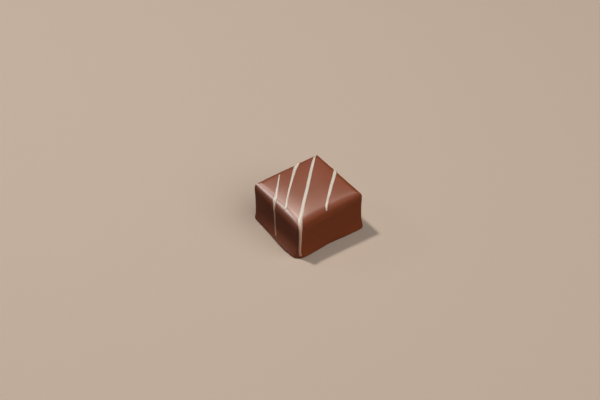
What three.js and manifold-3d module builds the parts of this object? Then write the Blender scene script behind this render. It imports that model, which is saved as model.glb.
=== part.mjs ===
// A square chocolate praline: one solid with a smooth poured coat, soft shoulders, a small
// foot where the coat ran out before it set, and four thin drizzled lines over the top.
// Millimetres, +Z up, origin in the middle of the flat underside.
import * as THREE from 'three';
import { mergeVertices } from 'three/addons/utils/BufferGeometryUtils.js';
import Module from 'manifold-3d';

const wasm = await Module();
wasm.setup();

// Driving dimensions of the coated block
const SIDE_X = 24.45;
const SIDE_Y = 25.0;
const HEIGHT = 15.25;
const SHOULDER = 2.8; // how far the rounding of the upper edges reaches
const SHOULDER_POWER = 3.0; // 2 is a plain arc, more is squarer
const SAG = 0.5; // how much the top falls from its middle to its edges
const CROWN_POWER = 2.8; // 2 is evenly domed, more is flatter in the middle
const FRONT_DIP = 1.1; // how much further it falls at the +X -Y corner
const FRONT_SHOULDER = 0.35; // how much wider the shoulder is there, as a share of it
const CORNER = 0.8; // radius of the upright corners
const WAIST = 0.13; // how far the walls draw in above the foot
const RIPPLE = 0.035; // unevenness of the poured coat
const RIPPLE_FROM = 0.5; // it sets in between these heights, above the flat base
const RIPPLE_FULL = 3;
const WAVES = [
  { turns: [0.31, 0.23, 0], start: 1.0 }, // radians a millimetre along x, y and z
  { turns: [-0.19, 0.27, 0.35], start: 0.6 },
];

// The foot: its reach past the wall and the radius of its corners, with more or less of both
// toward each place
const FOOT_HEIGHT = 4.6;
const FOOT_REACH = 0.93;
const FOOT_CORNER = 2.7;
const FOOT_POWER = 1.8; // how sharply it curls out
const LIP = 0.45; // radius under its rim
const FOOT_SPREAD = 0.45; // width of each place in radians
const FOOT_PLACES = [
  { toward: [0.5, -1.0], reach: 0.77, corner: 0 },
  { toward: [1.0, -1.0], reach: -0.4, corner: 0.6 },
  { toward: [-1.0, -1.0], reach: -0.4, corner: -0.6 },
  { toward: [1.0, 1.0], reach: -0.3, corner: -0.6 },
  { toward: [1.0, 0.0], reach: -0.8, corner: 0 },
  { toward: [-1.0, 0.6], reach: 0.25, corner: 0 },
];

// The drizzle: each line is a row of places on the coat with its width there
const BEAD_HEIGHT = 0.34; // of a line one width wide
const BEAD_WIDTH = 1.2;
const BEAD_EDGE = 0.08; // how high its sides stand
const BEAD_ROOT = 0.35; // how deep each line is bedded in the coat
const BEAD_STEP = 1.1; // between sections along a line
const BEAD_SIDES = 6; // facets over a line
const BEAD_TIP = 0.3; // sections by which each end stops short of a point
const BEAD_TAPER = 2; // sections over which it rounds out
const TOP = HEIGHT;
const DRIZZLE = {
  left: [
    { at: [-10.2, -3.8, TOP], width: 0.25 },
    { at: [-7.85, -5.85, TOP], width: 0.45 },
    { at: [-5.2, -8.2, TOP], width: 0.62 },
    { at: [-2.95, -10.3, TOP], width: 0.85 },
    { at: [-1.85, -11.45, 13.85], width: 1.3 },
    { at: [-1.15, -12.15, 12.85], width: 0.95 },
    { at: [-0.7, -12.4, 10.0], width: 0.75 },
    { at: [-0.7, -12.4, 6.0], width: 0.68 },
    { at: [-0.3, -12.6, 3.3], width: 0.62 },
    { at: [0.4, -12.9, 2.2], width: 0.6 },
    { at: [0.7, -13.2, 1.5], width: 0.7 },
  ],
  middle: [
    { at: [-12.4, 5.7, 12.3], width: 0.8 },
    { at: [-11.9, 4.7, 14.0], width: 1.15 },
    { at: [-10.7, 3.1, TOP], width: 1.2 },
    { at: [-9.0, 1.2, TOP], width: 1.05 },
    { at: [-6.3, -1.5, TOP], width: 0.76 },
    { at: [-3.1, -4.7, TOP], width: 0.65 },
    { at: [-0.75, -7.1, TOP], width: 0.52 },
    { at: [1.6, -9.35, TOP], width: 0.62 },
    { at: [2.95, -10.55, 14.3], width: 0.75 },
    { at: [3.6, -11.45, 13.65], width: 0.5 },
  ],
  corner: [
    { at: [-11.9, 11.65, 14.0], width: 0.3 },
    { at: [-10.9, 10.45, TOP], width: 0.45 },
    { at: [-9.2, 8.75, TOP], width: 0.85 },
    { at: [-4.1, 3.8, TOP], width: 0.98 },
    { at: [1.2, -1.25, TOP], width: 1.06 },
    { at: [5.95, -6.0, TOP], width: 1.1 },
    { at: [8.65, -8.6, TOP], width: 1.2 },
    { at: [10.15, -10.3, 13.85], width: 1.45 },
    { at: [11.1, -11.0, 13.3], width: 1.6 },
    { at: [11.75, -11.35, 12.5], width: 1.4 },
    { at: [12.2, -11.6, 11.0], width: 1.2 },
    { at: [12.1, -11.65, 8.4], width: 1.02 },
    { at: [12.05, -11.75, 6.0], width: 0.95 },
    { at: [12.1, -11.95, 3.5], width: 0.85 },
    { at: [12.25, -12.05, 2.3], width: 0.85 },
    { at: [12.65, -12.0, 1.0], width: 0.95 },
  ],
  right: [
    { at: [-2.7, 12.5, 12.4], width: 0.75 },
    { at: [-2.0, 12.2, 13.9], width: 1.0 },
    { at: [-1.1, 11.4, 14.6], width: 1.05 },
    { at: [1.3, 9.1, TOP], width: 1.04 },
    { at: [4.5, 5.7, TOP], width: 0.98 },
    { at: [6.5, 3.7, TOP], width: 0.9 },
    { at: [8.25, 1.85, TOP], width: 0.74 },
    { at: [10.05, 0.15, TOP], width: 0.74 },
    { at: [10.75, -0.6, 14.1], width: 0.58 },
    { at: [11.45, -1.1, 13.45], width: 0.35 },
  ],
};

// Mesh of the coat
const CELLS_ALONG = 24;
const CELLS_UP = 16;
const CROWDING = 0.55; // how much the cells crowd toward the edges
const SETTLE_STEPS = 8;
const PROBE = 0.001; // for slopes by small differences
const MERGE = 0.0005;
const SHORT_EDGE = 0.03; // edges shorter than this are closed up
const THIN_FACE = 0.006; // and faces lower than this are turned
const TIDY_PASSES = 12;

const { clamp, lerp, smoothstep } = THREE.MathUtils;

// How far the foot reaches out and how round its corners are in the direction of x, y
function footToward(x, y) {
  const angle = Math.atan2(y, x);
  const foot = { reach: FOOT_REACH, corner: FOOT_CORNER };
  for (const { toward, reach, corner } of FOOT_PLACES) {
    const away = angle - Math.atan2(toward[1], toward[0]);
    const turn = Math.atan2(Math.sin(away), Math.cos(away));
    const share = Math.exp(-((turn / FOOT_SPREAD) ** 2));
    foot.reach += reach * share;
    foot.corner += corner * share;
  }
  return foot;
}

// How much of the foot there is at a height: all of it at the lip, none above it
function footShare(z) {
  return (1 - clamp((z - LIP) / FOOT_HEIGHT, 0, 1)) ** FOOT_POWER;
}

// How far the wall stands out from the block's plain sides at a height
function wallOffset(x, y, z) {
  const drawnIn = WAIST * smoothstep(HEIGHT - z, SHOULDER, HEIGHT / 2);
  return (WAIST + footToward(x, y).reach) * footShare(z) - drawnIn;
}

// A slow unevenness that fades out toward the flat base
function ripple(x, y, z) {
  let height = RIPPLE * smoothstep(z, RIPPLE_FROM, RIPPLE_FULL);
  for (const { turns, start } of WAVES) {
    height *= Math.sin(turns[0] * x + turns[1] * y + turns[2] * z + start);
  }
  return height;
}

// The larger of two distances, with the edge between them rounded
function roundedMax(a, b, radius, power) {
  const outer = Math.max(a + radius, 0) ** power + Math.max(b + radius, 0) ** power;
  return outer ** (1 / power) + Math.min(Math.max(a, b) + radius, 0) - radius;
}

// How near a place is to the +X and -Y sides: 1 at their corner, less along both of them and
// nothing at their far ends
function frontShare(x, y) {
  const toX = clamp((2 * x) / SIDE_X, -1, 1);
  const toY = clamp((-2 * y) / SIDE_Y, -1, 1);
  const besideX = Math.max(toX, 0) ** CROWN_POWER * (1 - ((1 - toY) / 2) ** 2);
  const besideY = Math.max(toY, 0) ** CROWN_POWER * (1 - ((1 - toX) / 2) ** 2);
  return 1 - (1 - besideX) * (1 - besideY);
}

// Signed distance to the coat's surface, below zero inside
function coatField(x, y, z) {
  const wave = ripple(x, y, z);
  const offset = wallOffset(x, y, z) + wave;
  const corner = lerp(CORNER, footToward(x, y).corner, footShare(z));
  const side = roundedMax(
    Math.abs(x) - SIDE_X / 2 - offset,
    Math.abs(y) - SIDE_Y / 2 - offset,
    corner,
    2,
  );
  const acrossX = Math.abs((2 * x) / SIDE_X) ** CROWN_POWER;
  const acrossY = Math.abs((2 * y) / SIDE_Y) ** CROWN_POWER;
  const front = frontShare(x, y);
  const top = z - HEIGHT + SAG * (1 - (1 - acrossX) * (1 - acrossY)) + FRONT_DIP * front - wave;
  const shoulder = SHOULDER * (1 + FRONT_SHOULDER * front);
  return roundedMax(roundedMax(side, top, shoulder, SHOULDER_POWER), -z, LIP, 2);
}

function coatSlope(point) {
  const { x, y, z } = point;
  return new THREE.Vector3(
    coatField(x + PROBE, y, z) - coatField(x - PROBE, y, z),
    coatField(x, y + PROBE, z) - coatField(x, y - PROBE, z),
    coatField(x, y, z + PROBE) - coatField(x, y, z - PROBE),
  ).divideScalar(2 * PROBE);
}

// Moves a point along the slope until it lies on the coat
function settle(point) {
  for (let step = 0; step < SETTLE_STEPS; step += 1) {
    const slope = coatSlope(point);
    point.addScaledVector(slope, -coatField(point.x, point.y, point.z) / slope.lengthSq());
  }
  return point;
}

const crowd = (t) => lerp(t, Math.sin((t * Math.PI) / 2), CROWDING);

// The block as a box of cells that crowd toward its edges, settled onto the coat
function coatGeometry() {
  const geometry = new THREE.BoxGeometry(2, 2, 2, CELLS_ALONG, CELLS_ALONG, CELLS_UP);
  const places = geometry.attributes.position;
  const point = new THREE.Vector3();
  for (let i = 0; i < places.count; i += 1) {
    point.fromBufferAttribute(places, i);
    point.set(crowd(point.x), crowd(point.y), crowd(point.z));
    const z = ((point.z + 1) / 2) * HEIGHT;
    const offset = wallOffset(point.x, point.y, Math.max(z, LIP));
    point.set(point.x * (SIDE_X / 2 + offset), point.y * (SIDE_Y / 2 + offset), z);
    settle(point);
    places.setXYZ(i, point.x, point.y, Math.max(point.z, 0));
  }
  return geometry;
}

// A place beside a line's middle, lifted off the coat
function overCoat(centre, across, aside, lift) {
  const place = settle(centre.clone().addScaledVector(across, aside));
  return place.addScaledVector(coatSlope(place).normalize(), lift);
}

// One drizzled line: a low rounded section carried along its places on the coat
function beadGeometry(places) {
  const curve = new THREE.CatmullRomCurve3(places.map(({ at }) => new THREE.Vector3(...at)));
  const widths = new THREE.CatmullRomCurve3(places.map(({ width }) => new THREE.Vector3(width, 0, 0)));
  const count = Math.ceil(curve.getLength() / BEAD_STEP);
  const centres = [];
  for (let i = 0; i <= count; i += 1) {
    centres.push(settle(curve.getPoint(i / count)));
  }
  const corners = [];
  for (let i = 0; i <= count; i += 1) {
    const centre = centres[i];
    const next = centres[Math.min(i + 1, count)];
    const along = new THREE.Vector3().subVectors(next, centres[Math.max(i - 1, 0)]);
    const across = new THREE.Vector3().crossVectors(coatSlope(centre), along).normalize();
    const fromEnd = Math.min(i, count - i) + BEAD_TIP;
    const width = widths.getPoint(i / count).x * Math.sqrt(Math.min(1, fromEnd / BEAD_TAPER));
    const height = BEAD_HEIGHT * Math.min(1, width / BEAD_WIDTH);
    for (let j = 0; j <= BEAD_SIDES; j += 1) {
      const angle = (j / BEAD_SIDES) * Math.PI;
      const lift = BEAD_EDGE + (height - BEAD_EDGE) * Math.sin(angle);
      corners.push(overCoat(centre, across, (Math.cos(angle) * width) / 2, lift));
    }
    corners.push(overCoat(centre, across, -width / 2, -BEAD_ROOT));
    corners.push(overCoat(centre, across, width / 2, -BEAD_ROOT));
  }
  const ringSize = BEAD_SIDES + 3; // the corners over the line and the two bedded ones
  return closedLoft(corners, ringSize);
}

// Joins equal rings of corners into one closed surface with a fan at each end
function closedLoft(corners, ringSize) {
  const rings = corners.length / ringSize;
  const faces = [];
  for (let ring = 0; ring + 1 < rings; ring += 1) {
    for (let j = 0; j < ringSize; j += 1) {
      const a = ring * ringSize + j;
      const b = ring * ringSize + ((j + 1) % ringSize);
      faces.push(a, b, b + ringSize, a, b + ringSize, a + ringSize);
    }
  }
  const last = (rings - 1) * ringSize;
  for (let j = 1; j + 1 < ringSize; j += 1) {
    faces.push(0, j + 1, j, last, last + j, last + j + 1);
  }
  const geometry = new THREE.BufferGeometry().setFromPoints(corners);
  geometry.setIndex(faces);
  return geometry;
}

function toSolid(geometry) {
  geometry.deleteAttribute('normal');
  geometry.deleteAttribute('uv');
  const merged = mergeVertices(geometry, MERGE);
  return new wasm.Manifold(
    new wasm.Mesh({
      numProp: 3,
      vertProperties: new Float32Array(merged.attributes.position.array),
      triVerts: new Uint32Array(merged.index.array),
    }),
  );
}

// The solid's corners as points and its faces as triples of their numbers
function toFaces(solid) {
  const mesh = solid.getMesh();
  const points = [];
  for (let i = 0; i < mesh.vertProperties.length; i += 3) {
    points.push(new THREE.Vector3().fromArray(mesh.vertProperties, i));
  }
  const faces = [];
  for (let i = 0; i < mesh.triVerts.length; i += 3) {
    faces.push(Array.from(mesh.triVerts.slice(i, i + 3)));
  }
  return { points, faces };
}

function toGeometry(points, faces) {
  const geometry = new THREE.BufferGeometry().setFromPoints(points);
  geometry.setIndex(faces.flat());
  geometry.deleteAttribute('normal');
  return mergeVertices(geometry, MERGE);
}

function faceNormal(points, [a, b, c]) {
  const side = new THREE.Vector3().subVectors(points[b], points[a]);
  return side.cross(new THREE.Vector3().subVectors(points[c], points[a]));
}

function faceEdges([a, b, c]) {
  return [
    [a, b, c],
    [b, c, a],
    [c, a, b],
  ];
}

// How high a face stands over its longest edge
function faceHeight(points, face) {
  const lengths = faceEdges(face).map(([a, b]) => points[a].distanceTo(points[b]));
  return faceNormal(points, face).length() / Math.max(...lengths);
}

function facesAround(points, faces) {
  const around = points.map(() => []);
  for (const face of faces) {
    for (const corner of face) {
      around[corner].push(face);
    }
  }
  return around;
}

// Whether corner b can move to corner a without folding the surface over
function canClose(points, around, a, b) {
  const ring = new Set(around[a].flat());
  const common = new Set(around[b].flat().filter((corner) => ring.has(corner)));
  if (common.size !== 4) {
    return false;
  }
  return around[b].every((face) => {
    if (face.includes(a)) {
      return true;
    }
    const moved = face.map((corner) => (corner === b ? a : corner));
    const before = faceNormal(points, face);
    return faceHeight(points, face) < THIN_FACE || before.dot(faceNormal(points, moved)) > 0;
  });
}

function closeShortEdges(points, faces) {
  const around = facesAround(points, faces);
  const busy = new Set();
  const target = new Map();
  for (const face of faces) {
    for (const [a, b] of faceEdges(face)) {
      const free = !busy.has(a) && !busy.has(b);
      if (free && points[a].distanceTo(points[b]) < SHORT_EDGE && canClose(points, around, a, b)) {
        target.set(b, a);
        around[a].flat().forEach((corner) => busy.add(corner));
        around[b].flat().forEach((corner) => busy.add(corner));
      }
    }
  }
  const closed = faces.map((face) => face.map((corner) => target.get(corner) ?? corner));
  return closed.filter((face) => new Set(face).size === 3);
}

// Turns the long edge of each thin face so that it runs across it
function turnThinFaces(points, faces) {
  const owner = new Map();
  for (const face of faces) {
    faceEdges(face).forEach(([a, b]) => owner.set(`${a} ${b}`, face));
  }
  const length = ([a, b]) => points[a].distanceTo(points[b]);
  const busy = new Set();
  for (const face of faces) {
    const height = faceHeight(points, face);
    if (height > THIN_FACE || face.some((corner) => busy.has(corner))) {
      continue;
    }
    const [a, b, c] = faceEdges(face).sort((one, two) => length(two) - length(one))[0];
    const other = owner.get(`${b} ${a}`);
    const d = other.find((corner) => corner !== a && corner !== b);
    const first = [a, d, c];
    const second = [d, b, c];
    const better = Math.min(faceHeight(points, first), faceHeight(points, second)) > height;
    const known = owner.has(`${c} ${d}`) || owner.has(`${d} ${c}`);
    if (better && !known && !busy.has(d)) {
      face.splice(0, 3, ...first);
      other.splice(0, 3, ...second);
      [a, b, c, d].forEach((corner) => busy.add(corner));
    }
  }
  return faces;
}

function tidyGeometry(solid) {
  let { points, faces } = toFaces(solid);
  for (let pass = 0; pass < TIDY_PASSES; pass += 1) {
    faces = closeShortEdges(points, faces);
    faces = turnThinFaces(points, faces);
  }
  return toGeometry(points, faces);
}

// Puts the middle of the foot's outline over the origin
function centreFoot(geometry) {
  geometry.computeBoundingBox();
  const middle = geometry.boundingBox.getCenter(new THREE.Vector3());
  geometry.translate(-middle.x, -middle.y, -geometry.boundingBox.min.z);
  geometry.computeVertexNormals();
  return geometry;
}

function pralineGeometry() {
  let solid = toSolid(coatGeometry());
  for (const places of Object.values(DRIZZLE)) {
    solid = solid.add(toSolid(beadGeometry(places)));
  }
  return centreFoot(tidyGeometry(solid));
}

const chocolate = new THREE.MeshStandardMaterial({ color: 0x7a4530, roughness: 0.35, metalness: 0 });

const praline = new THREE.Mesh(pralineGeometry(), chocolate);
praline.name = 'praline';

const group = new THREE.Group();
group.add(praline);

export default group;
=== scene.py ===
"""A square milk chocolate praline with cream drizzle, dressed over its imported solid.

The coat and the four drizzle lines are worked out from the solid's own dimensions, with finer
meshes and in their own colours. Places are in millimetres until make_piece scales them.
"""
import math

import bpy
import numpy as np
from mathutils import Matrix, Vector


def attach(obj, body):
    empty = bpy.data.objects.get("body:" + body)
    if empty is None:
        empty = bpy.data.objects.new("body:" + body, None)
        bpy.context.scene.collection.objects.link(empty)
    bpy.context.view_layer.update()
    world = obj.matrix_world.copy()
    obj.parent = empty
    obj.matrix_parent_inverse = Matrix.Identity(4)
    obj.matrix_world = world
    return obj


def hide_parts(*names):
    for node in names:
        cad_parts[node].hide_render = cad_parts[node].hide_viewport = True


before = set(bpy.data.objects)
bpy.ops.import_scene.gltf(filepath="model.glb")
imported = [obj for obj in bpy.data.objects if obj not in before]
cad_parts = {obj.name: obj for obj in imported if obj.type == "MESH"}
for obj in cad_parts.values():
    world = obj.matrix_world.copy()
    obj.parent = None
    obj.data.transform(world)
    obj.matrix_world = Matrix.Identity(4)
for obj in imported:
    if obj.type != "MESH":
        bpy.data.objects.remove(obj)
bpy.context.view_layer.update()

MM = 0.001

# Driving dimensions of the coated block, as the solid has them
SIDE_X = 24.45
SIDE_Y = 25.0
HEIGHT = 15.25
SHOULDER = 2.8  # how far the rounding of the upper edges reaches
SHOULDER_POWER = 3.0  # 2 is a plain arc, more is squarer
SAG = 0.5  # how much the top falls from its middle to its edges
CROWN_POWER = 2.8  # 2 is evenly domed, more is flatter in the middle
FRONT_DIP = 1.1  # how much further it falls at the +X -Y corner
FRONT_SHOULDER = 0.35  # how much wider the shoulder is there, as a share of it
CORNER = 0.8  # radius of the upright corners
WAIST = 0.13  # how far the walls draw in above the foot
RIPPLE = 0.035  # unevenness of the poured coat
RIPPLE_FROM = 0.5  # it sets in between these heights, above the flat base
RIPPLE_FULL = 3

# Each wave's turns in radians a millimetre along x, y and z, and where it starts
WAVES = (
    ((0.31, 0.23, 0), 1.0),
    ((-0.19, 0.27, 0.35), 0.6),
)

# The foot: its reach past the wall and the radius of its corners
FOOT_HEIGHT = 4.6
FOOT_REACH = 0.93
FOOT_CORNER = 2.7
FOOT_POWER = 1.8  # how sharply it curls out
LIP = 0.45  # radius under its rim
FOOT_SPREAD = 0.45  # width of each place in radians

# Toward each place: how much further the foot reaches and how much rounder its corner is
FOOT_PLACES = (
    ((0.5, -1.0), 0.77, 0),
    ((1.0, -1.0), -0.4, 0.6),
    ((-1.0, -1.0), -0.4, -0.6),
    ((1.0, 1.0), -0.3, -0.6),
    ((1.0, 0.0), -0.8, 0),
    ((-1.0, 0.6), 0.25, 0),
)

# The drizzle: each line is a row of places on the coat with its width there
BEAD_HEIGHT = 0.34  # of a line one width wide
BEAD_WIDTH = 1.2
BEAD_EDGE = 0.06  # how high its sides stand
BEAD_ROOT = 0.2  # how deep each line is bedded in the coat
BEAD_STEP = 0.2  # between sections along a line
BEAD_SIDES = 20  # facets over a line
BEAD_TIP = 0.02  # how far each end stops short of a point
SPLINE_STEPS = 40  # from one place to the next, before they are spread evenly
DRIZZLE = {
    "left": (
        ((-10.2, -3.8, HEIGHT), 0.25),
        ((-7.85, -5.85, HEIGHT), 0.45),
        ((-5.2, -8.2, HEIGHT), 0.62),
        ((-2.95, -10.3, HEIGHT), 0.85),
        ((-1.85, -11.45, 13.85), 1.3),
        ((-1.15, -12.15, 12.85), 0.95),
        ((-0.7, -12.4, 10.0), 0.75),
        ((-0.7, -12.4, 6.0), 0.68),
        ((-0.3, -12.6, 3.3), 0.62),
        ((0.4, -12.9, 2.2), 0.6),
        ((0.7, -13.2, 1.5), 0.7),
    ),
    "middle": (
        ((-12.4, 5.7, 12.3), 0.8),
        ((-11.9, 4.7, 14.0), 1.15),
        ((-10.7, 3.1, HEIGHT), 1.2),
        ((-9.0, 1.2, HEIGHT), 1.05),
        ((-6.3, -1.5, HEIGHT), 0.76),
        ((-3.1, -4.7, HEIGHT), 0.65),
        ((-0.75, -7.1, HEIGHT), 0.52),
        ((1.6, -9.35, HEIGHT), 0.62),
        ((2.95, -10.55, 14.3), 0.75),
        ((3.6, -11.45, 13.65), 0.5),
    ),
    "corner": (
        ((-11.9, 11.65, 14.0), 0.3),
        ((-10.9, 10.45, HEIGHT), 0.45),
        ((-9.2, 8.75, HEIGHT), 0.85),
        ((-4.1, 3.8, HEIGHT), 0.98),
        ((1.2, -1.25, HEIGHT), 1.06),
        ((5.95, -6.0, HEIGHT), 1.1),
        ((8.65, -8.6, HEIGHT), 1.2),
        ((10.15, -10.3, 13.85), 1.45),
        ((11.1, -11.0, 13.3), 1.6),
        ((11.75, -11.35, 12.5), 1.4),
        ((12.2, -11.6, 11.0), 1.2),
        ((12.1, -11.65, 8.4), 1.02),
        ((12.05, -11.75, 6.0), 0.95),
        ((12.1, -11.95, 3.5), 0.85),
        ((12.25, -12.05, 2.3), 0.85),
        ((12.65, -12.0, 1.0), 0.95),
    ),
    "right": (
        ((-2.7, 12.5, 12.4), 0.75),
        ((-2.0, 12.2, 13.9), 1.0),
        ((-1.1, 11.4, 14.6), 1.05),
        ((1.3, 9.1, HEIGHT), 1.04),
        ((4.5, 5.7, HEIGHT), 0.98),
        ((6.5, 3.7, HEIGHT), 0.9),
        ((8.25, 1.85, HEIGHT), 0.74),
        ((10.05, 0.15, HEIGHT), 0.74),
        ((10.75, -0.6, 14.1), 0.58),
        ((11.45, -1.1, 13.45), 0.35),
    ),
}

# Mesh of the coat
CELLS_ALONG = 110
CELLS_UP = 64
CROWDING = 0.55  # how much the cells crowd toward the edges
SETTLE_STEPS = 6
PROBE = 0.001  # for slopes by small differences

# Milk chocolate: a broad noise mixes its two colours and moves its roughness
CHOCOLATE_SURFACE = {
    "Specular IOR Level": 1.0,
    "IOR": 1.6,
    "Subsurface Weight": 0.12,
    "Subsurface Radius": (0.9 * MM, 0.35 * MM, 0.2 * MM),
    "Subsurface Scale": 1.0,
}
CHOCOLATE_COLOURS = ((0.168, 0.036, 0.01, 1), (0.188, 0.042, 0.013, 1))
CHOCOLATE_ROUGHNESS = (0.37, 0.44)
CHOCOLATE_PATCHES = 160  # noise cells a metre, as all noise scales here
CHOCOLATE_GRAIN = 900
GRAIN_DETAIL = 3
GRAIN_STRENGTH = 0.12
GRAIN_HEIGHT = 0.05 * MM

# Cream: lightest on the top; browner on the walls, where the chocolate shows through the thinner
# line, and darker toward the bottom, which is painted shade
CREAM_SURFACE = {
    "IOR": 1.46,
    "Specular IOR Level": 0.8,
    "Subsurface Weight": 0.25,
    "Subsurface Radius": (0.6 * MM, 0.4 * MM, 0.25 * MM),
    "Subsurface Scale": 1.0,
}
CREAM_TINT_AND_SHADE = (  # each with the share of the block's height that it belongs to
    (0.15, (0.42, 0.22, 0.15, 1)),
    (0.76, (0.57, 0.37, 0.27, 1)),
    (0.95, (0.53, 0.46, 0.39, 1)),
)
CREAM_SHADES = (0.9, 1.0)
CREAM_ROUGHNESS = (0.38, 0.5)
CREAM_PATCHES = 400

FLOOR_SURFACE = {"Base Color": (0.38, 0.3, 0.24, 1), "Roughness": 0.9}
FLOOR_HALF = 1500.0  # half its side

NOISE_DETAIL = 2
MIX_FIRST, MIX_SECOND, MIX_RESULT = 6, 7, 2  # the colour sockets of a Mix node

# Camera: the photograph's view, fitted to the praline's corners
VIEW_AZIMUTH = 55.54
VIEW_ELEVATION = 41.24
VIEW_ROLL = -1.32
VIEW_DISTANCE = 605.45
VIEW_TARGET = (-3.57, -0.33, 7.0)
FOCAL_PIXELS = 1900.0
FRAME_WIDTH = 600
SENSOR_MM = 36.0

# The lights: direction from the praline, distance and size in metres, watts, colour, and the
# rays that miss it. Two of them light the colours and leave no gloss, and two do the opposite.
LIGHTS = {
    "key": ((-0.378, -0.158, 0.913), 0.7, 0.07, 4.0, (1.0, 0.97, 0.93), "visible_glossy"),
    "right": ((0.6, 0.25, 0.76), 1.2, 1.3, 14.0, (1.0, 1.0, 1.0), "visible_glossy"),
    "left": ((-0.73, -0.47, 0.495), 1.0, 0.16, 6.8, (1.0, 0.97, 0.93), "visible_diffuse"),
    "above": ((-0.26, -0.07, 0.96), 1.0, 0.52, 9.2, (1.0, 0.95, 0.86), "visible_diffuse"),
}
STUDIO_COLOUR = (1.0, 0.98, 0.96, 1)
STUDIO_STRENGTH = 0.02


def smoothstep(x, low, high):
    t = np.clip((x - low) / (high - low), 0, 1)
    return t * t * (3 - 2 * t)


def foot_toward(x, y):
    """How far the foot reaches out and how round its corners are in the direction of x, y."""
    angle = np.arctan2(y, x)
    reach = np.full_like(angle, FOOT_REACH)
    corner = np.full_like(angle, FOOT_CORNER)
    for toward, more_reach, more_corner in FOOT_PLACES:
        away = angle - math.atan2(toward[1], toward[0])
        turn = np.arctan2(np.sin(away), np.cos(away))
        share = np.exp(-((turn / FOOT_SPREAD) ** 2))
        reach += more_reach * share
        corner += more_corner * share
    return reach, corner


def foot_share(z):
    """How much of the foot there is at a height: all of it at the lip, none above it."""
    return (1 - np.clip((z - LIP) / FOOT_HEIGHT, 0, 1)) ** FOOT_POWER


def wall_offset(x, y, z):
    """How far the wall stands out from the block's plain sides at a height."""
    drawn_in = WAIST * smoothstep(HEIGHT - z, SHOULDER, HEIGHT / 2)
    reach, _ = foot_toward(x, y)
    return (WAIST + reach) * foot_share(z) - drawn_in


def ripple(x, y, z):
    """A slow unevenness that fades out toward the flat base."""
    height = RIPPLE * smoothstep(z, RIPPLE_FROM, RIPPLE_FULL)
    for turns, start in WAVES:
        height = height * np.sin(turns[0] * x + turns[1] * y + turns[2] * z + start)
    return height


def rounded_max(a, b, radius, power):
    """The larger of two distances, with the edge between them rounded."""
    outer = np.maximum(a + radius, 0) ** power + np.maximum(b + radius, 0) ** power
    return outer ** (1 / power) + np.minimum(np.maximum(a, b) + radius, 0) - radius


def front_share(x, y):
    """How near places are to the +X and -Y sides: 1 at their corner and 0 at their far ends."""
    to_x = np.clip(2 * x / SIDE_X, -1, 1)
    to_y = np.clip(-2 * y / SIDE_Y, -1, 1)
    beside_x = np.maximum(to_x, 0) ** CROWN_POWER * (1 - ((1 - to_y) / 2) ** 2)
    beside_y = np.maximum(to_y, 0) ** CROWN_POWER * (1 - ((1 - to_x) / 2) ** 2)
    return 1 - (1 - beside_x) * (1 - beside_y)


def coat_field(points):
    """Signed distance to the coat's surface, below zero inside."""
    x, y, z = points.T
    wave = ripple(x, y, z)
    offset = wall_offset(x, y, z) + wave
    _, foot_corner = foot_toward(x, y)
    corner = CORNER + (foot_corner - CORNER) * foot_share(z)
    side = rounded_max(np.abs(x) - SIDE_X / 2 - offset, np.abs(y) - SIDE_Y / 2 - offset, corner, 2)
    across_x = np.abs(2 * x / SIDE_X) ** CROWN_POWER
    across_y = np.abs(2 * y / SIDE_Y) ** CROWN_POWER
    front = front_share(x, y)
    top = z - HEIGHT + SAG * (1 - (1 - across_x) * (1 - across_y)) + FRONT_DIP * front - wave
    shoulder = SHOULDER * (1 + FRONT_SHOULDER * front)
    return rounded_max(rounded_max(side, top, shoulder, SHOULDER_POWER), -z, LIP, 2)


def coat_slope(points):
    """The slope of the distance at each point, by small differences."""
    steps = np.eye(3) * PROBE
    rises = [coat_field(points + step) - coat_field(points - step) for step in steps]
    return np.stack(rises, axis=1) / (2 * PROBE)


def unit(vectors):
    return vectors / np.linalg.norm(vectors, axis=-1, keepdims=True)


def settle(points):
    """Moves points along the slope until they lie on the coat."""
    for _ in range(SETTLE_STEPS):
        slope = coat_slope(points)
        share = coat_field(points) / (slope**2).sum(axis=1)
        points = points - slope * share[:, None]
    return points


def crowd(t):
    """Moves places between -1 and 1 toward the nearer end."""
    return t + (np.sin(t * math.pi / 2) - t) * CROWDING


def box_grid():
    """A closed box of cells from -1 to 1 that crowd toward its edges: places and faces."""
    along = crowd(np.linspace(-1, 1, CELLS_ALONG + 1))
    up = crowd(np.linspace(-1, 1, CELLS_UP + 1))
    numbers = {}
    places = []
    faces = []

    def corner(key):
        if key not in numbers:
            numbers[key] = len(places)
            places.append((along[key[0]], along[key[1]], up[key[2]]))
        return numbers[key]

    def sheet(count_a, count_b, place):
        for a in range(count_a):
            for b in range(count_b):
                ring = (place(a, b), place(a + 1, b), place(a + 1, b + 1), place(a, b + 1))
                faces.append([corner(key) for key in ring])

    last, top = CELLS_ALONG, CELLS_UP
    sheet(last, last, lambda a, b: (a, b, top))  # the top
    sheet(last, last, lambda a, b: (b, a, 0))  # the underside
    sheet(last, top, lambda a, b: (a, 0, b))  # -Y
    sheet(last, top, lambda a, b: (last - a, last, b))  # +Y
    sheet(last, top, lambda a, b: (last, a, b))  # +X
    sheet(last, top, lambda a, b: (0, last - a, b))  # -X
    return np.array(places), faces


def coat_mesh():
    """The block as a box of cells, settled onto the coat."""
    places, faces = box_grid()
    z = (places[:, 2] + 1) / 2 * HEIGHT
    offset = wall_offset(places[:, 0], places[:, 1], np.maximum(z, LIP))
    x = places[:, 0] * (SIDE_X / 2 + offset)
    y = places[:, 1] * (SIDE_Y / 2 + offset)
    points = settle(np.stack([x, y, z], axis=1))
    points[:, 2] = np.maximum(points[:, 2], 0)
    return points, faces


def step_lengths(rows):
    """How far apart neighbouring rows lie by their x, y and z."""
    return np.linalg.norm(np.diff(rows[:, :3], axis=0), axis=1)


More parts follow.
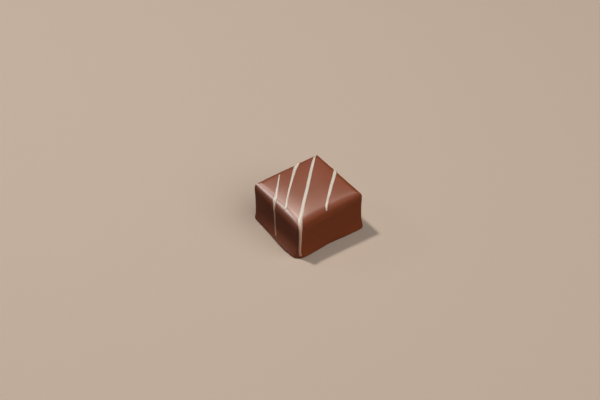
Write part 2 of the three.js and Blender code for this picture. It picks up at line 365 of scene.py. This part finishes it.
def catmull_rom(p, k, t):
    """Barry and Goldman's pyramid for four points and their knots."""

    def mix(a, b, low, high):
        return (a * (high - t) + b * (t - low)) / (high - low)

    a1 = mix(p[0], p[1], k[0], k[1])
    a2 = mix(p[1], p[2], k[1], k[2])
    a3 = mix(p[2], p[3], k[2], k[3])
    b1 = mix(a1, a2, k[0], k[2])
    b2 = mix(a2, a3, k[1], k[3])
    return mix(b1, b2, k[1], k[2])


def spline(rows, count):
    """Rows spread evenly along a centripetal Catmull-Rom curve through the given ones."""
    before = 2 * rows[0] - rows[1]
    after = 2 * rows[-1] - rows[-2]
    padded = np.vstack([before, rows, after])
    knots = np.concatenate([[0], np.cumsum(np.sqrt(step_lengths(padded)))])
    fine = []
    for i in range(1, len(padded) - 2):
        for t in np.linspace(knots[i], knots[i + 1], SPLINE_STEPS, endpoint=False):
            fine.append(catmull_rom(padded[i - 1 : i + 3], knots[i - 1 : i + 3], t))
    fine.append(rows[-1])
    fine = np.array(fine)
    lengths = np.concatenate([[0], np.cumsum(step_lengths(fine))])
    even = np.linspace(0, lengths[-1], count)
    return np.stack([np.interp(even, lengths, column) for column in fine.T], axis=1)


def end_share(widths):
    """The share of its width that each section keeps, so that both ends of a line are round."""
    number = np.arange(len(widths))
    from_end = np.minimum(number, number[::-1]) * BEAD_STEP
    near = np.clip((from_end + BEAD_TIP) / (widths / 2), 0, 1)
    rest = 2 - np.clip(from_end / (widths / 2), 0, 1)
    return np.clip(np.sqrt(near * rest), 0, 1)


def over_coat(centres, across, aside, lift):
    """Places beside a line's middle, lifted off the coat."""
    place = settle(centres + across * aside[:, None])
    return place + unit(coat_slope(place)) * lift[:, None]


def closed_loft(count, ring_size):
    """Faces that join a row of equal rings and close both its ends."""
    faces = []
    for i in range(count - 1):
        for j in range(ring_size):
            a = i * ring_size + j
            b = i * ring_size + (j + 1) % ring_size
            faces.append((a, b, b + ring_size, a + ring_size))
    faces.append(tuple(reversed(range(ring_size))))
    faces.append(tuple(range((count - 1) * ring_size, count * ring_size)))
    return faces


def bead_mesh(places):
    """One drizzled line: a low rounded section carried along the coat."""
    rows = np.array([(*at, width) for at, width in places])
    count = int(step_lengths(rows).sum() / BEAD_STEP) + 1
    path = spline(rows, count)
    centres = settle(path[:, :3])
    along = np.gradient(centres, axis=0)
    across = unit(np.cross(coat_slope(centres), along))
    width = path[:, 3] * end_share(path[:, 3])
    height = BEAD_HEIGHT * np.minimum(1, width / BEAD_WIDTH)
    rings = []
    for j in range(BEAD_SIDES + 1):
        angle = j / BEAD_SIDES * math.pi
        lift = BEAD_EDGE + (height - BEAD_EDGE) * math.sin(angle)
        rings.append(over_coat(centres, across, math.cos(angle) * width / 2, lift))
    root = np.full(count, -BEAD_ROOT)
    rings.append(over_coat(centres, across, -width / 2, root))
    rings.append(over_coat(centres, across, width / 2, root))
    points = np.stack(rings, axis=1).reshape(-1, 3)
    return points, closed_loft(count, len(rings))


def make_piece(name, points, faces, material):
    """A smooth object from places in millimetres."""
    mesh = bpy.data.meshes.new(name)
    mesh.from_pydata((points * MM).tolist(), [], faces)
    mesh.validate()
    mesh.shade_smooth()
    mesh.materials.append(material)
    piece = bpy.data.objects.new(name, mesh)
    bpy.context.scene.collection.objects.link(piece)
    return piece


class Look:
    """A material and its node tree, with the shader's uniform values set."""

    def __init__(self, name, surface):
        self.material = bpy.data.materials.new(name)
        self.material.use_nodes = True
        self.tree = self.material.node_tree
        self.shader = self.tree.nodes["Principled BSDF"]
        for socket, value in surface.items():
            self.shader.inputs[socket].default_value = value

    def add(self, kind, **settings):
        node = self.tree.nodes.new(kind)
        for key, value in settings.items():
            setattr(node, key, value)
        return node

    def feed(self, target, source):
        """Gives a socket a plain value, or links it to another node's output."""
        if isinstance(source, bpy.types.NodeSocket):
            self.tree.links.new(source, target)
        else:
            target.default_value = source

    def place(self):
        """Object coordinates: places on the part in metres, the same from every view."""
        return self.add("ShaderNodeTexCoord").outputs["Object"]

    def noise(self, scale, detail=NOISE_DETAIL):
        node = self.add("ShaderNodeTexNoise")
        self.feed(node.inputs["Vector"], self.place())
        self.feed(node.inputs["Scale"], scale)
        self.feed(node.inputs["Detail"], detail)
        return node.outputs["Fac"]

    def between(self, source, limits):
        """Spreads a source of 0 to 1 between two limits."""
        node = self.add("ShaderNodeMapRange")
        self.feed(node.inputs["Value"], source)
        self.feed(node.inputs["To Min"], limits[0])
        self.feed(node.inputs["To Max"], limits[1])
        return node.outputs["Result"]

    def height_share(self):
        """0 at the underside and 1 at the height of the block."""
        axes = self.add("ShaderNodeSeparateXYZ")
        self.feed(axes.inputs["Vector"], self.place())
        node = self.add("ShaderNodeMapRange")
        self.feed(node.inputs["Value"], axes.outputs["Z"])
        self.feed(node.inputs["From Max"], HEIGHT * MM)
        return node.outputs["Result"]

    def ramp(self, source, stops):
        """The colour that a source of 0 to 1 picks from two or more stops."""
        node = self.add("ShaderNodeValToRGB")
        elements = node.color_ramp.elements
        first, *middle, last = stops
        elements[0].position, elements[0].color = first
        elements[1].position, elements[1].color = last
        for position, colour in middle:
            elements.new(position).color = colour
        self.feed(node.inputs["Fac"], source)
        return node.outputs["Color"]

    def mix(self, factor, first, second, blend="MIX"):
        node = self.add("ShaderNodeMix", data_type="RGBA", blend_type=blend)
        self.feed(node.inputs["Factor"], factor)
        self.feed(node.inputs[MIX_FIRST], first)
        self.feed(node.inputs[MIX_SECOND], second)
        return node.outputs[MIX_RESULT]

    def bump(self, height):
        node = self.add("ShaderNodeBump")
        self.feed(node.inputs["Strength"], GRAIN_STRENGTH)
        self.feed(node.inputs["Distance"], GRAIN_HEIGHT)
        self.feed(node.inputs["Height"], height)
        return node.outputs["Normal"]


def chocolate_material():
    look = Look("milk_chocolate", CHOCOLATE_SURFACE)
    patches = look.noise(CHOCOLATE_PATCHES)
    grain = look.noise(CHOCOLATE_GRAIN, GRAIN_DETAIL)
    look.feed(look.shader.inputs["Base Color"], look.mix(patches, *CHOCOLATE_COLOURS))
    look.feed(look.shader.inputs["Roughness"], look.between(patches, CHOCOLATE_ROUGHNESS))
    look.feed(look.shader.inputs["Normal"], look.bump(grain))
    return look.material


def drizzle_material():
    look = Look("cream_drizzle", CREAM_SURFACE)
    patches = look.noise(CREAM_PATCHES)
    # The colour by height is partly painted shade: the cream darkens down the walls and toward the
    # bottom, besides browning where the chocolate shows through
    colour = look.ramp(look.height_share(), CREAM_TINT_AND_SHADE)
    shade = look.between(patches, CREAM_SHADES)
    look.feed(look.shader.inputs["Base Color"], look.mix(1.0, colour, shade, "MULTIPLY"))
    look.feed(look.shader.inputs["Roughness"], look.between(patches, CREAM_ROUGHNESS))
    return look.material


def add_praline():
    """The coat, which stands for the CAD node, and the four lines on it."""
    coat_points, coat_faces = coat_mesh()
    middle = (coat_points.min(axis=0) + coat_points.max(axis=0)) / 2
    middle[2] = 0
    coat = make_piece("coat", coat_points - middle, coat_faces, chocolate_material())
    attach(coat, "root")
    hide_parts("praline")
    cream = drizzle_material()
    for name, places in DRIZZLE.items():
        points, faces = bead_mesh(places)
        bead = make_piece(f"drizzle_{name}", points - middle, faces, cream)
        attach(bead, "root")


def add_floor():
    corners = np.array([(-1, -1, 0), (1, -1, 0), (1, 1, 0), (-1, 1, 0)])
    material = Look("floor", FLOOR_SURFACE).material
    floor = make_piece("floor", corners * FLOOR_HALF, [(0, 1, 2, 3)], material)
    floor.visible_glossy = False


def add_camera():
    azimuth = math.radians(VIEW_AZIMUTH)
    elevation = math.radians(VIEW_ELEVATION)
    roll = math.radians(VIEW_ROLL)
    level = math.cos(elevation)
    back = Vector((math.sin(azimuth) * level, -math.cos(azimuth) * level, math.sin(elevation)))
    right = Vector((math.cos(azimuth), math.sin(azimuth), 0))
    up = back.cross(right)
    rolled_right = right * math.cos(roll) + up * math.sin(roll)
    rolled_up = up * math.cos(roll) - right * math.sin(roll)
    data = bpy.data.cameras.new("camera")
    data.sensor_width = SENSOR_MM
    data.lens = FOCAL_PIXELS * SENSOR_MM / FRAME_WIDTH
    camera = bpy.data.objects.new("camera", data)
    turn = Matrix((rolled_right, rolled_up, back)).transposed()
    place = (Vector(VIEW_TARGET) + back * VIEW_DISTANCE) * MM
    camera.matrix_world = Matrix.Translation(place) @ turn.to_4x4()
    bpy.context.scene.collection.objects.link(camera)
    bpy.context.scene.camera = camera


def add_light(name, toward, distance, size, watts, colour, missed_by):
    """A round lamp that faces the origin, which one kind of ray doesn't see."""
    data = bpy.data.lights.new(name, "AREA")
    data.shape = "DISK"
    data.size = size
    data.energy = watts
    data.color = colour
    light = bpy.data.objects.new(name, data)
    direction = Vector(toward).normalized()
    light.location = direction * distance
    light.rotation_mode = "QUATERNION"
    light.rotation_quaternion = direction.to_track_quat("Z", "Y")
    setattr(light, missed_by, False)
    bpy.context.scene.collection.objects.link(light)


def add_studio():
    """A faint even light from all round that leaves no gloss."""
    world = bpy.data.worlds.new("studio")
    world.use_nodes = True
    background = world.node_tree.nodes["Background"]
    background.inputs["Color"].default_value = STUDIO_COLOUR
    background.inputs["Strength"].default_value = STUDIO_STRENGTH
    bpy.context.scene.world = world
    world.cycles_visibility.glossy = False


def main():
    add_praline()
    add_floor()
    add_camera()
    for name, settings in LIGHTS.items():
        add_light(name, *settings)
    add_studio()
    bpy.context.scene.view_settings.view_transform = "Standard"


main()
